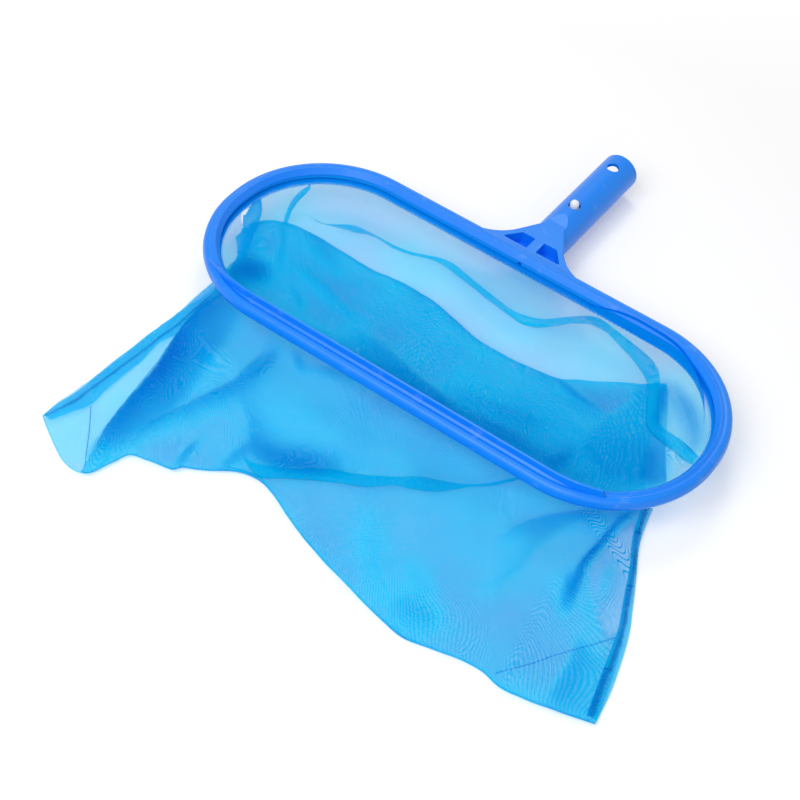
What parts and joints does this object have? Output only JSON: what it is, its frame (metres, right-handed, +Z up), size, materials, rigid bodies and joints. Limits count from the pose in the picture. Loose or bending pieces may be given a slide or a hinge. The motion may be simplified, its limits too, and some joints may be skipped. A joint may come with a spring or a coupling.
{
  "type": "leaf skimmer net",
  "caption": "Long oval leaf net head for a pool pole: moulded loop with a scoop lip and a spigot with sprung lock buttons, and a fine mesh bag laid out on the floor.",
  "frame": {"origin": "on the spigot's axis at its open end, where its full diameter starts behind the 0.6 mm rounded rim", "axes": "+Y along the spigot's axis out of its open end, the way the pole comes off; +Z up, square to the plane of the loop; +X to the right, along the loop"},
  "size_m": [0.4251, 0.4647, 0.0408],
  "materials": {
    "blue_plastic": "moulded mid-blue polypropylene with a soft gloss",
    "hem_fabric": "doubled edge of the blue mesh",
    "mesh_fabric": "fine see-through woven blue mesh",
    "binding": "overlocked seam of the blue mesh",
    "thread": "blue sewing thread",
    "bead_cord": "extruded soft plastic bead",
    "clip_steel": "spring steel strip",
    "white_plastic": "white moulded button"
  },
  "bodies": {
    "root": {"frame_moulding": "blue_plastic", "front_lip": "blue_plastic", "retaining_bead": "bead_cord", "hem_band": "hem_fabric", "hem_stitch": "thread", "mesh_bag": "mesh_fabric", "side_seam_left": "binding", "side_seam_right": "binding", "seam_stitch_left": "thread", "seam_stitch_right": "thread", "corner_stitch_left": "thread", "corner_stitch_right": "thread", "clip_bow": "clip_steel"},
    "upper_clip": {"clip_leg_upper": "clip_steel", "lock_button_upper": "white_plastic"},
    "lower_clip": {"clip_leg_lower": "clip_steel", "lock_button_lower": "white_plastic"}
  },
  "joints": [
    {"name": "upper_button_press", "type": "hinge", "parent": "root", "child": "upper_clip", "pos_m": [0, -0.11, 0.0034], "axis": [-1, 0, 0], "range_deg": [0, 6.6], "stiffness_Nm_per_rad": 0.5, "springref_deg": -34.38},
    {"name": "lower_button_press", "type": "hinge", "parent": "root", "child": "lower_clip", "pos_m": [0, -0.11, -0.0034], "axis": [1, 0, 0], "range_deg": [0, 6.6], "stiffness_Nm_per_rad": 0.5, "springref_deg": -34.38}
  ]
}
